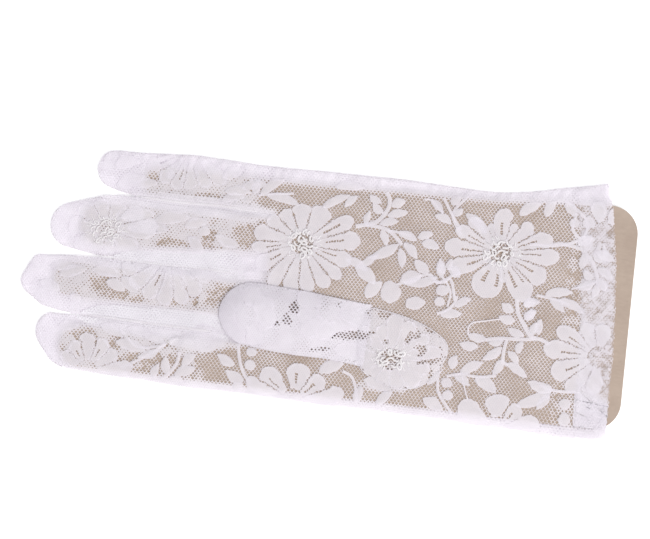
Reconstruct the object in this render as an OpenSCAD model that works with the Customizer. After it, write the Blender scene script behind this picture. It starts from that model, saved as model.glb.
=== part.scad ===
// Wrist-length lace glove for the left hand, lying palm up on a hand-shaped display card.
// X runs from the fingertips to the cuff, Y from the index side to the little-finger side.

/* [Glove] */
// Y of the folded edge on the index side
fold_y = -49; // [-52:0.5:-48]
// Thickness of a lace layer
lace_t = 0.5; // [0.3:0.1:0.6]
// Width of the slit between two fingers
slit_w = 0.6; // [0.4:0.1:1]
// Width of a sewn seam
seam_w = 0.8; // [0.5:0.1:1]
// Depth of the cuff hem
hem_depth = 14; // [8:1:18]

/* [Fingers] */
// Y of the line between the index and middle fingers
gap_index_middle = -26.5; // [-28:0.5:-25]
// Y of the line between the middle and ring fingers
gap_middle_ring = -3; // [-4:0.5:-2]
// Y of the line between the ring and little fingers
gap_ring_little = 22; // [21:0.5:23]
// Y of the outer edge of the little finger
little_edge = 39.5; // [38.5:0.5:40]
// X of the crotch between the index and middle fingers
crotch_index_middle = -42; // [-46:1:-38]
// X of the crotch between the middle and ring fingers
crotch_middle_ring = -36; // [-40:1:-33]
// X of the crotch between the ring and little fingers
crotch_ring_little = -30; // [-36:1:-29]

/* [Card] */
// Thickness of the card
card_t = 0.8; // [0.5:0.1:0.9]
// Radius of the two corners that stick out of the cuff
card_corner_r = 11; // [4:1:14]

/* [Thumb] */
// X of the line where the free thumb leaves the gusset
thumb_root_x = 18; // [16:1:20]
// Y of the middle of the thumb
thumb_y = -18; // [-20:0.5:-16]
// Radius of the round end of the thumb
thumb_tip_r = 12.5; // [10:0.5:13]
// Height to which the empty thumb stands up
thumb_puff = 5.8; // [3:0.2:7]

/* [Hidden] */
$fn = 40;

// Heights of the layers, from the table up
z_back = 0;                          // back panel
z_back_in = z_back + lace_t;         // its inner face
z_card = 1.4;                        // display card
z_four = 2.5;                        // folded side strips of the fingers
z_palm = 3;                          // palm panel
z_palm_top = z_palm + lace_t;
hem_t = 0.45;                        // the turned-in layer of the hem
hem_top_y = 43;                      // the hem's stitches stop short of the side seam
thread_t = 0.25;                     // a line of sewing thread
gusset_t = 1.2;                      // the gusset stands a little above the palm
z_thumb = 4.5;                       // underside of the free thumb
thumb_back_t = 0.8;

// Steepness of the thumb's top at its root and at its tip
root_slope = 26;
tip_slope = 40;

// Where the fingers join the palm, and where the seam of the little-finger side begins
palm_x = -30;
side_seam_x = -80;

// Fingertips: circles [x, y, radius] that the tip wraps round
index_tips = [[-103.5, -34, 7.5], [-101, -43, 4]];
middle_tips = [[-113, -15.5, 6], [-111, -8, 4.5], [-108, -20, 5]];
ring_tips = [[-101.5, 8, 8.5]];
little_tips = [[-87, 31.5, 7.5]];

// X where each finger reaches its full width
index_full_x = -99;
middle_full_x = -98;
ring_full_x = -88;
little_full_x = -80;

// Long edge on the little-finger side, and the cuff's edge from there to the fold
side_edge = [[palm_x, little_edge], [-10, 40.5], [20, 41.2], [60, 40.8], [74, 42], [90, 45.3], [104, 49]];
cuff_edge = [[104, 49], [107, 38], [111, 18], [112.5, 0], [114, -20], [115, fold_y]];

// Edges of the card, and the middles of its two round corners: its end is a little aslant
card_end_x = 119;
card_aslant = 1.5;
card_web_x = -24;
card_low_y = -46.5;
card_high_y = 41;
card_top = [[card_web_x, 34.5], [63, 37.5]];
card_corners = [[card_end_x - card_aslant - card_corner_r, card_high_y - card_corner_r],
                [card_end_x - card_corner_r, card_low_y + card_corner_r]];

// Prongs of the card: x of the end, y of its middle, half of its width, then y of both
// sides at the web
card_prongs = [[-101, -38.5, 8, card_low_y, -30], [-106, -13, 6.5, -19.5, -6.5],
               [-98, 9.5, 8, 7, 20], [-76, 28.5, 5.5, 23, 34.5]];

// Flower centres on the palm, and on the gusset
palm_flowers = [[-11, 11], [65, 18], [-88, 8.5]];
gusset_flower = [29, -27];
knot_ring_r = 2.6;
knot_r = 1;
cord_r = 0.3;

// Centre of the thumb's round end, and the two ends of its root line
thumb_tip_x = -28;
thumb_root_low = -33;
thumb_root_high = -8.5;
gusset_outline = [[14, -9], [26, -11], [38, -14], [47, -17.5], [50, -21], [49, -27], [43, -37],
                  [36, -40], [26, -39], [14, -33]];

module slab(z, t) translate([0, 0, z]) linear_extrude(t) children();

// A finger reaches a little way into the palm, so that the two join
module finger(tips, full_x, y_low, y_high, inset = 0)
  hull() {
    for (t = tips) translate([t[0], t[1]]) circle(r = t[2] - inset);
    translate([full_x, y_low + inset]) square([palm_x + 2 - full_x, y_high - y_low - 2 * inset]);
  }

module index_finger(inset = 0)
  finger(index_tips, index_full_x, fold_y, gap_index_middle, inset);
module middle_finger(inset = 0)
  finger(middle_tips, middle_full_x, gap_index_middle, gap_middle_ring, inset);
module ring_finger(inset = 0)
  finger(ring_tips, ring_full_x, gap_middle_ring, gap_ring_little, inset);
module little_finger(inset = 0)
  finger(little_tips, little_full_x, gap_ring_little, little_edge, inset);

module palm_body()
  polygon(concat([[palm_x, fold_y]], side_edge,
                 [for (i = [1 : len(cuff_edge) - 1]) cuff_edge[i]]));

module slit(y, crotch_x) translate([-125, y - slit_w / 2]) square([crotch_x + 125, slit_w]);

module slits() {
  slit(gap_index_middle, crotch_index_middle);
  slit(gap_middle_ring, crotch_middle_ring);
  slit(gap_ring_little, crotch_ring_little);
}

// One lace layer of the whole glove
module glove_layer(z)
  difference() {
    union() {
      slab(z, lace_t) palm_body();
      slab(z, lace_t) index_finger();
      slab(z, lace_t) middle_finger();
      slab(z, lace_t) ring_finger();
      slab(z, lace_t) little_finger();
    }
    slab(z - 1, lace_t + 2) slits();
  }

// Strip along the cuff's edge, between two distances from it
module cuff_band(from, to, margin)
  intersection() {
    polygon(concat([for (p = cuff_edge) p - [from, 0]],
                   [for (i = [len(cuff_edge) - 1 : -1 : 0]) cuff_edge[i] - [to, 0]]));
    polygon(concat([[palm_x, fold_y + margin]], [for (p = side_edge) p - [0, margin]],
                   [[125, 49 - margin], [125, fold_y + margin]]));
  }

// Wall that closes a fingertip between the two panels
module tip_wall(full_x)
  slab(z_back_in, z_palm - z_back_in)
    intersection() {
      difference() {
        children(0);
        children(1);
      }
      difference() {
        translate([-125, -60]) square([125 + full_x, 120]);
        slits();
      }
    }

// Side strip of two neighbouring fingers: it stands along the slit and folds over the card.
// Each side is [direction, x of its end, width near the tip, width at the crotch].
module fourchette(y, crotch_x, sides, point) {
  near = slit_w / 2;
  for (side = sides) {
    way = side[0];
    slab(z_four, z_palm - z_four)
      polygon([[side[1], y + way * near], [side[1] + 8, y + way * side[2]],
               [crotch_x, y + way * side[3]], [crotch_x + point, y + way * near]]);
    slab(z_back_in, z_four - z_back_in)
      translate([side[1], y + way * (near + lace_t / 2) - lace_t / 2])
        square([crotch_x - side[1], lace_t]);
  }
  slab(z_back_in, z_palm - z_back_in)
    translate([crotch_x, y - near - lace_t]) square([lace_t, 2 * (near + lace_t)]);
}

// Two lines of stitching, one on each side of every slit
module slit_stitches(z)
  for (g = [[gap_index_middle, -96, crotch_index_middle], [gap_middle_ring, -86, crotch_middle_ring],
            [gap_ring_little, -78, crotch_ring_little]])
    for (s = [-1, 1])
      slab(z, thread_t)
        translate([g[1], g[0] + s * (slit_w / 2 + 1.2) - 0.25]) square([g[2] - g[1], 0.5]);

// Stitches of the hem, spaced along the cuff
module hem_stitches(z)
  for (i = [0 : len(cuff_edge) - 2]) {
    a = cuff_edge[i] - [hem_depth - 1, 0];
    b = cuff_edge[i + 1] - [hem_depth - 1, 0];
    n = round(norm(b - a) / 4);
    turn = atan2(b[1] - a[1], b[0] - a[0]);
    for (k = [1 : n]) {
      spot = a + (b - a) * (k - 0.5) / n;
      if (spot[1] < hem_top_y)
        slab(z, thread_t) translate(spot) rotate(turn) square([2.4, 0.5], center = true);
    }
  }

// A ring of knots round a middle one
module knots(z)
  translate([0, 0, z + cord_r])
    for (k = [0 : 6])
      rotate(k * 60) translate([k == 6 ? 0 : knot_ring_r, 0])
        rotate_extrude($fn = 24) translate([knot_r - cord_r, 0]) circle(r = cord_r, $fn = 16);

module gusset_plan(inset = 0) offset(delta = -inset) polygon(gusset_outline);

module thumb_plan(inset = 0)
  hull() {
    translate([thumb_tip_x, thumb_y]) circle(r = thumb_tip_r - inset);
    translate([thumb_root_x - 1, thumb_root_low + inset])
      square([1, thumb_root_high - thumb_root_low - 2 * inset]);
  }

// Everything below a plane that rises from x: a positive tilt rises towards the fingertips
module below_slope(x, z, tilt)
  translate([x, -75, z]) rotate([0, tilt, 0]) translate([-150, 0, -150]) cube([300, 110, 150]);

// Rounded top of the thumb, falling to nothing at its root
module thumb_dome() {
  half = thumb_tip_r + 1;
  puff_r = (half * half + thumb_puff * thumb_puff) / (2 * thumb_puff);
  z_low = z_thumb + thumb_back_t;
  intersection() {
    slab(z_low, thumb_puff) thumb_plan(seam_w);
    translate([-45, thumb_y - 0.6, z_low + thumb_puff - puff_r])
      rotate([0, 90, 0]) cylinder(r = puff_r, h = 70, $fn = 96);
    below_slope(thumb_root_x, z_low, root_slope);
    below_slope(thumb_tip_x - thumb_tip_r, z_low, -tip_slope);
  }
}

module back_panel() color([0.93, 0.90, 0.93]) glove_layer(z_back);

module palm_panel()
  color([0.93, 0.90, 0.93]) {
    difference() {
      glove_layer(z_palm);
      slab(z_palm - 1, lace_t + 2) gusset_plan();
    }
    slab(z_back_in, z_palm - z_back_in)
      translate([index_full_x, fold_y]) square([cuff_edge[5][0] - index_full_x, lace_t]);
  }

module fourchette_index_middle()
  color([0.90, 0.88, 0.94])
    fourchette(gap_index_middle, crotch_index_middle, [[-1, -98, 4, 9], [1, -96, 5, 7.5]], 8);

module fourchette_middle_ring()
  color([0.90, 0.88, 0.94])
    fourchette(gap_middle_ring, crotch_middle_ring, [[-1, -96, 4, 4.5], [1, -86, 4, 9]], 6);

module fourchette_ring_little()
  color([0.90, 0.88, 0.94])
    fourchette(gap_ring_little, crotch_ring_little, [[-1, -86, 4, 5], [1, -78, 3, 3.5]], 5);

module thumb_gusset()
  color([0.94, 0.92, 0.94]) slab(z_palm, gusset_t) gusset_plan(seam_w);

module gusset_seam()
  color([0.98, 0.97, 0.99])
    slab(z_palm, gusset_t)
      difference() {
        gusset_plan();
        gusset_plan(seam_w);
      }

module cuff_hem_palm()
  color([0.95, 0.93, 0.95]) slab(z_palm - hem_t, hem_t) cuff_band(0.5, hem_depth, seam_w + 0.2);

module cuff_hem_back()
  color([0.95, 0.93, 0.95]) slab(z_back_in, hem_t) cuff_band(0.5, hem_depth, seam_w + 0.2);

module little_side_seam()
  color([0.98, 0.97, 0.99])
    slab(z_back_in, z_palm - z_back_in)
      polygon(concat([[side_seam_x, little_edge]], side_edge,
                     [for (i = [len(side_edge) - 1 : -1 : 0]) side_edge[i] - [0, seam_w]],
                     [[side_seam_x, little_edge - seam_w]]));

module index_tip_seam()
  color([0.98, 0.97, 0.99]) tip_wall(index_full_x) { index_finger(); index_finger(seam_w); }

module middle_tip_seam()
  color([0.98, 0.97, 0.99]) tip_wall(middle_full_x) { middle_finger(); middle_finger(seam_w); }

module ring_tip_seam()
  color([0.98, 0.97, 0.99]) tip_wall(ring_full_x) { ring_finger(); ring_finger(seam_w); }

module little_tip_seam()
  color([0.98, 0.97, 0.99]) tip_wall(little_full_x) { little_finger(); little_finger(seam_w); }

module finger_seams_palm() color([1, 1, 1]) slit_stitches(z_palm_top);

module finger_seams_back() color([1, 1, 1]) slit_stitches(z_back_in);

module hem_stitch_palm() color([1, 1, 1]) hem_stitches(z_palm_top);

module hem_stitch_back() color([1, 1, 1]) hem_stitches(z_back_in + hem_t);

module flower_knots_palm()
  color([0.97, 0.95, 0.97]) for (f = palm_flowers) translate(f) knots(z_palm_top);

module gusset_flower_knots()
  color([0.97, 0.95, 0.97]) translate(gusset_flower) knots(z_palm + gusset_t);

module thumb_back() color([0.94, 0.92, 0.94]) slab(z_thumb, thumb_back_t) thumb_plan(seam_w);

module thumb_front() color([0.94, 0.92, 0.94]) thumb_dome();

module thumb_seam()
  color([0.98, 0.97, 0.99])
    slab(z_thumb, thumb_back_t)
      difference() {
        thumb_plan();
        thumb_plan(seam_w);
      }

module card_prong(end_x, y, half, root_low, root_high)
  hull() {
    translate([end_x + half, y]) circle(r = half);
    translate([card_web_x, root_low]) square([2, root_high - root_low]);
  }

module hand_card()
  color([0.745, 0.68, 0.62])
    union() {
      slab(z_card, card_t)
        polygon(concat([[card_web_x, card_low_y]], card_top,
                       [card_corners[0] + [0, card_corner_r], card_corners[0] + [card_corner_r, 0],
                        card_corners[1] + [card_corner_r, 0], card_corners[1] - [0, card_corner_r]]));
      for (c = card_corners) slab(z_card, card_t) translate(c) circle(r = card_corner_r);
      for (p = card_prongs) slab(z_card, card_t) card_prong(p[0], p[1], p[2], p[3], p[4]);
    }

back_panel();
palm_panel();
fourchette_index_middle();
fourchette_middle_ring();
fourchette_ring_little();
thumb_gusset();
cuff_hem_palm();
cuff_hem_back();
little_side_seam();
index_tip_seam();
middle_tip_seam();
ring_tip_seam();
little_tip_seam();
finger_seams_palm();
finger_seams_back();
gusset_seam();
hem_stitch_palm();
hem_stitch_back();
flower_knots_palm();
gusset_flower_knots();
thumb_back();
thumb_front();
thumb_seam();
hand_card();
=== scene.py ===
"""A white floral lace glove laid palm up over a hand-shaped card, seen from straight above."""
import math

import bpy
import numpy as np
from mathutils import Euler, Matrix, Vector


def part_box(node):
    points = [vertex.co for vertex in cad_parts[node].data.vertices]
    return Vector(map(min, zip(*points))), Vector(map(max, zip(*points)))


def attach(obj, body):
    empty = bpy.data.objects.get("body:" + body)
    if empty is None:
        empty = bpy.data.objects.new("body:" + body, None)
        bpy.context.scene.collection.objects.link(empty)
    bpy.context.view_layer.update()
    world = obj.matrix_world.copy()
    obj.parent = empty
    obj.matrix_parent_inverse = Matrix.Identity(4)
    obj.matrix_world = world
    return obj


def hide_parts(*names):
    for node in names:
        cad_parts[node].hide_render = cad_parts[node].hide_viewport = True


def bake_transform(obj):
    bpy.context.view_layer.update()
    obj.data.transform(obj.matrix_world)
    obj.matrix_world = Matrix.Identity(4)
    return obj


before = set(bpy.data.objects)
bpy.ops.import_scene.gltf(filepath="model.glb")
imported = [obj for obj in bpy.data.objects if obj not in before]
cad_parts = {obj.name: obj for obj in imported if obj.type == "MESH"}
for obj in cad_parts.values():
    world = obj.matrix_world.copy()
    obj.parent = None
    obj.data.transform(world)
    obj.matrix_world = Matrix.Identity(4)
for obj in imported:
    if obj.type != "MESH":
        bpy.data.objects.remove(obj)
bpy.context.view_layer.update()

MM = 0.001
RIPPLE_WAVES = 9

# ---- the frame's own outlines


def top_loops(node):
    """Outlines of a CAD node's upper face, in mm, the longest first."""
    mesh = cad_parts[node].data
    points = np.array([v.co for v in mesh.vertices]) / MM
    keys = {}
    merged = [keys.setdefault(tuple(np.round(p, 3)), len(keys)) for p in points]
    places = np.array(list(keys))
    top = places[:, 2].max() - 0.01
    edges = {}
    for face in mesh.polygons:
        ring = [merged[v] for v in face.vertices]
        if min(places[i][2] for i in ring) < top:
            continue
        for a, b in zip(ring, ring[1:] + ring[:1]):
            if edges.pop((b, a), None) is None:
                edges[(a, b)] = True
    follow = {a: b for a, b in edges}
    loops = []
    while follow:
        start, at = follow.popitem()
        loop = [start]
        while at != start and at in follow:
            loop.append(at)
            at = follow.pop(at)
        loops.append(places[loop][:, :2])
    return sorted(loops, key=lambda loop: -np.linalg.norm(np.diff(loop, axis=0), axis=1).sum())


def soften(loop, reach=3.0, rounds=3, sharp_from=1e9):
    """The loop with its corners cut back, at most reach mm along each side. Those beyond x sharp_from
    stay sharp."""
    for _ in range(rounds):
        out = []
        for before, p, after in zip(np.roll(loop, 1, axis=0), loop, np.roll(loop, -1, axis=0)):
            if p[0] > sharp_from:
                out.append(p)
                continue
            for q in (before, after):
                way = q - p
                length = np.linalg.norm(way)
                out.append(p + way * min(0.25, reach / max(length, 1e-6)))
        loop, reach = np.array(out), reach / 2
    return loop


def hull(points):
    """The convex outline round some points."""
    order = sorted(map(tuple, points))
    sides = []
    for run in (order, order[::-1]):
        side = []
        for x, y in run:
            while len(side) > 1:
                (x0, y0), (x1, y1) = side[-2:]
                if (x1 - x0) * (y - y0) - (y1 - y0) * (x - x0) > 0:
                    break
                side.pop()
            side.append((x, y))
        sides += side[:-1]
    return np.array(sides)


def resample(path, spacing, closed=False):
    """Points evenly spaced along a path, of any number of dimensions."""
    if closed:
        path = np.concatenate([path, path[:1]])
    run = np.concatenate([[0], np.cumsum(np.linalg.norm(np.diff(path, axis=0), axis=1))])
    n = max(2, int(round(run[-1] / spacing)) + 1)
    at = np.linspace(0, run[-1], n)
    out = np.stack([np.interp(at, run, path[:, k]) for k in range(path.shape[1])], axis=1)
    return out[:-1] if closed else out


def directions(path, closed=False):
    """Unit directions along a path, one for each point."""
    if closed:
        way = np.roll(path, -1, axis=0) - np.roll(path, 1, axis=0)
    else:
        way = np.gradient(path, axis=0)
    return way / np.maximum(np.linalg.norm(way, axis=1)[:, None], 1e-9)


def left_of(way):
    """Directions in the plan, turned a quarter to the left."""
    return np.stack([-way[:, 1], way[:, 0]], axis=1)


def segments(loops):
    """The sides of closed loops, one row [x0, y0, x1, y1] each."""
    return np.concatenate([np.concatenate([l, np.roll(l, -1, axis=0)], axis=1) for l in loops])


def nearest(points, segs):
    """Distance from each point to the segments, and the nearest place on them."""
    far = np.empty(len(points))
    place = np.empty((len(points), 2))
    a, ab = segs[:, :2], segs[:, 2:] - segs[:, :2]
    length2 = np.maximum((ab ** 2).sum(1), 1e-9)
    for i in range(0, len(points), 8000):
        p = points[i:i + 8000, None, :]
        t = np.clip(((p - a) * ab).sum(2) / length2, 0, 1)
        spot = a + t[..., None] * ab
        gap = ((p - spot) ** 2).sum(2)
        k = gap.argmin(1)
        rows = np.arange(len(k))
        far[i:i + 8000] = np.sqrt(gap[rows, k])
        place[i:i + 8000] = spot[rows, k]
    return far, place


def inside(points, loops):
    """True where a point is inside the loops by the even-odd rule."""
    result = np.zeros(len(points), bool)
    for x0, y0, x1, y1 in segments(loops):
        if y0 == y1:
            continue
        crosses = (y0 > points[:, 1]) != (y1 > points[:, 1])
        x = x0 + (points[:, 1] - y0) * (x1 - x0) / (y1 - y0)
        result ^= crosses & (points[:, 0] < x)
    return result


def depth(points, loops):
    """How far inside the loops each point is, negative outside."""
    far, _ = nearest(points, segments(loops))
    return np.where(inside(points, loops), far, -far)


def smooth(x):
    """A soft step, from 0 at 0 to 1 at 1."""
    x = np.clip(x, 0, 1)
    return x * x * (3 - 2 * x)


def ripple(points, seed, pitch):
    """Soft unevenness, mostly between -1 and 1, with waves near the given pitch in mm."""
    dice = np.random.default_rng(seed)
    total = np.zeros(len(points))
    for _ in range(RIPPLE_WAVES):
        angle, phase = dice.uniform(0, 2 * math.pi, 2)
        k = 2 * math.pi / (pitch * dice.uniform(0.6, 1.6))
        total += np.sin(k * (points[:, 0] * math.cos(angle) + points[:, 1] * math.sin(angle)) + phase)
    return total / math.sqrt(RIPPLE_WAVES)


def jitter(points, seed, low, high):
    """A random number between low and high for each point."""
    return np.random.default_rng(seed).uniform(low, high, len(points))


# ---- the pattern of the lace, in mm

# A flower is its centre and its petals: angle in degrees, length from the centre, width, and how many
# rows of slits it has, if any
PALM_FLOWERS = [
    ((65, 17.5), [
        (334, 21, 8.4, 1), (1, 23, 8, 1), (23, 21.5, 7.6, 1), (47, 17, 7), (67, 13, 4.6),
        (89, 17.5, 8.4, 1), (137, 18, 6.2), (116, 12, 4), (158, 19.5, 6.6, 1), (182, 21.5, 8, 1),
        (205, 20.5, 7.4, 1), (254, 19, 12, 2), (309, 21.6, 10, 2), (282, 12, 4.4),
    ]),
    ((-11.5, 11.5), [
        (11, 22.5, 8.6, 1), (34, 22, 6.8, 1), (69, 16.8, 9.4), (100, 15.8, 9.4), (129, 15.5, 8.6),
        (149, 17.5, 7.6), (170, 19.5, 8), (191, 20, 5.6, 1), (212, 20.5, 7.4, 1), (237, 21, 6.8),
        (259, 20.5, 7), (282, 19, 7.4), (306, 19.5, 7.2), (326, 20, 6.4), (347, 20.5, 7.6, 1),
    ]),
    ((-88, 8), [
        (8, 20, 9), (35, 16, 8), (70, 12, 8), (108, 12, 8), (145, 14, 8), (180, 15, 8), (214, 14, 7),
        (248, 10, 7), (290, 10, 7), (328, 15, 8),
    ]),
    ((-59, 41), [
        (180, 17, 7), (202, 18, 7, 1), (228, 16, 6.5), (252, 15, 6.5, 1), (276, 14, 6.5), (302, 15, 6.5),
        (326, 18, 7), (350, 18, 6.6),
    ]),
    ((-62, 1.5), [
        (205, 20, 8), (226, 20, 8), (247, 20, 7.4, 1), (268, 20.5, 7.6), (290, 20.5, 7.6), (311, 20, 8),
        (334, 19, 9),
    ]),
    ((-89, -48), [
        (152, 12, 6), (122, 13, 6.4, 1), (96, 15, 7), (66, 14.5, 6.5, 1), (40, 14, 6.5), (14, 18, 6),
    ]),
    ((-8, -48.5), [
        (165, 20, 6.4), (145, 16.4, 8.6, 1), (84, 14, 9.6, 1), (39, 14.4, 7.4, 1), (13, 20, 6.4),
    ]),
    ((72, -49), [
        (158, 17, 8), (98, 11.8, 9.4), (44, 11.6, 7, 1), (12, 17, 6.4),
    ]),
    ((108, -18), [
        (152, 20, 6.4, 1), (178, 21.6, 8.2, 1), (208, 19.6, 9.8, 1), (234, 18.6, 7), (268, 15, 7),
        (120, 14, 7), (90, 13, 7),
    ]),
    ((104, 30), [
        (110, 12, 6), (150, 9, 5), (60, 10, 6), (215, 11, 6), (270, 12, 6, 1),
    ]),
]

# A leaf is x, y of its foot, x, y of its tip, and its width
PALM_LEAVES = [
    (18.5, -38, 29, -40.6, 4.4), (30, -39.6, 41, -36.4, 4.2), (43, -37, 48, -31, 3.2),
    (-2, 35.3, 10, 36, 3.4), (-6, 26.5, 4.5, 32.5, 3), (28, 1.5, 36, 5.5, 4.6), (50, 31, 59, 24, 3.6),
    (21, -5, 29, -2, 7.6), (31, -8, 38.5, -5, 4.6), (15, -6, 21, 0, 4.6), (10, 5, 18.5, -1, 4.2),
    (46, 9, 51, 6, 3.6), (71, 33, 78.5, 38, 3.6), (81, 33.5, 84, 39.5, 3.4), (88, 39, 93, 35, 3.4),
    (1, -37.5, 10, -33, 4.2), (16, -47, 18, -40.5, 3.2), (24, -47, 30, -41, 3),
    (42, -42.5, 50.5, -45.5, 3.6), (-79, -35, -67, -37.5, 4), (-69, -31, -60, -33.5, 3.4),
    (-38, 30, -28, 33, 3.4), (-45, 24, -36, 27, 3), (-36, 8, -46, 11, 3.4), (-104, -12, -94, -8, 4),
    (-112, -16, -103, -18, 4), (-86, -12, -78, -15, 4), (-104, 30.5, -84, 33, 4), (-80, 26, -70, 28, 3.4),
    (-83, 13, -70, 16, 5), (-70, 13.5, -56, 16.5, 4.4), (-80, 9, -64, 10.5, 5), (-56, 9, -50, 3, 4),
    (-58, 13, -49, 15.5, 3.6), (-92, -8, -80, -9.5, 4), (-80, -10, -73, -15, 4.4), (-108, -9, -98, -7.5, 4),
    (-86, 25, -76, 30, 5), (-88, 33, -78, 36, 4.4), (-46, 33, -38, 37, 4), (-44, 27.5, -34, 29, 3.6),
    (-102, -32, -94, -30.5, 4), (-86, -29.5, -76, -33, 3.6), (-75, -29.5, -66, -30.5, 3.2),
    (6, 8, 15, 3.5, 3), (2.7, 27.9, 7.6, 32.7, 2.7), (16.6, 30.8, 11.9, 33.4, 2.8),
    (18, 27.3, 13.3, 30.1, 2.8), (11.8, 21.9, 12.8, 27.4, 2.4), (20.6, 30.3, 26, 33, 3.2),
    (19.6, 26.5, 27.5, 28.8, 2.8), (17.2, 22.8, 24.3, 25.2, 2.8), (18.3, 20.8, 21, 14.8, 2.7),
    (24.5, 20.9, 32.5, 18.6, 2.9), (27.5, 17, 33.2, 11.5, 3.3), (26.2, 15, 27.8, 6.9, 3),
    (25.7, 16.4, 14.7, 8.6, 3.6), (18.3, 11.1, 10, 4.7, 2.6), (32.6, 19.7, 38.7, 21.3, 3),
    (34.4, 17.9, 41.7, 16.1, 3.3), (35.5, 34.7, 41.4, 29.9, 2.6), (38.1, 29, 45, 26.1, 3),
    (38.4, 6.8, 32.4, 11, 3.7), (44.1, 6.4, 42.2, 12.2, 3.2), (42, 5.2, 28.9, 0.9, 3.4),
    (43.6, 5.2, 42.4, 11.6, 3), (44.2, 33.5, 47.4, 37.6, 2.9), (45.5, 29.2, 48.7, 32.6, 2.7),
    (45.7, 8, 46.9, 12.4, 2.4), (45, -9.2, 53.3, -8, 3.2), (50.1, -5.4, 56.4, -1.8, 2.7),
    (73, -4.4, 68, -2, 3.2), (74.4, -7.6, 67.1, -7.6, 3.3), (78.5, -13.1, 71.5, -11.3, 3.2),
    (78.5, -7.2, 81.3, -2.4, 3.1), (76.7, -1.7, 81.6, 0.8, 2.8), (64, -17, 56.5, -15.2, 3),
    (61.3, -20, 53.9, -19.2, 3.3), (70.7, -16.3, 64.7, -18.5, 2.6), (70.1, -19.2, 63.2, -25, 3.2),
    (76.6, -20.7, 78.6, -15.5, 2.8), (72.7, -25.2, 81.3, -29.6, 3.2), (73.1, -20.4, 77.3, -24.9, 2.8),
    (71.1, -23.8, 67.7, -30.2, 3), (51.7, -29.7, 53.1, -23.9, 3.2), (55.1, -31.2, 63.6, -25.9, 3.4),
    (53.1, -31.8, 59.3, -35.4, 2.9), (60.9, -32, 69.7, -36.7, 4.2), (81, -12.6, 83.1, -7.2, 2.8),
    (84.6, 3.4, 95.1, 5.5, 3.3), (86.3, 2.3, 92.5, -2.8, 2.8), (89.5, 2.1, 100.7, -2.3, 3.2),
    (76.8, -1, 83.1, 0.4, 3.2), (77.5, -6.7, 82, -2.8, 2.9), (83.5, -12.1, 83.9, -5.7, 2.8),
    (97.8, 21.3, 96.8, 14.9, 3), (102.3, 11.4, 98.3, 14.7, 3), (103.5, 10.7, 96, 7.5, 3.3),
    (101.6, 21.9, 109.8, 19.6, 3.3), (103.5, 16, 110.1, 12.5, 3), (94.6, 24.2, 100.3, 27.7, 3.8),
    (104.5, 9.7, 103.1, 4.4, 2.6), (104.4, 11.9, 107.8, 7.6, 2.8), (92, -33.2, 81.5, -30.9, 3.8),
    (91.5, -33.5, 78.1, -40.7, 4.2), (90.6, -34.9, 86.4, -41, 3), (-27.7, 28.6, -14.6, 26.4, 3.2),
    (-30.4, 28.6, -21.1, 35.8, 3.2), (-32.8, 28.3, -30.8, 34.6, 3), (-62.4, -36.2, -70, -39.9, 2.8),
    (-57.8, -45.2, -59.7, -38.4, 3.2), (-63.3, -47.6, -62, -41.6, 2.6), (-52.6, -41.1, -47.6, -36.1, 3.2),
    (-55.3, -44.9, -46.8, -41.6, 3.3), (-57.2, -46.3, -50.4, -47.7, 2.6), (-32.2, -38.6, -39.5, -34.8, 3.4),
    (-27.9, -44, -35.5, -40.8, 3.6),
]

# A bud is x, y and its radius
PALM_BUDS = [
    (44.5, 0.5, 2.6), (44, -4, 2.2), (92.5, 32.5, 2.1), (51.5, -40, 2.2), (97, -38, 2.4), (97.5, -43, 2.2),
    (-50, 12, 2.2), (-30, -46, 2), (-66, 32, 2), (-97, -20, 2.2), (50.6, -35.3, 2.3), (-26.3, -32.6, 2.1),
    (-26.2, -37.6, 2.4),
]

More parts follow.
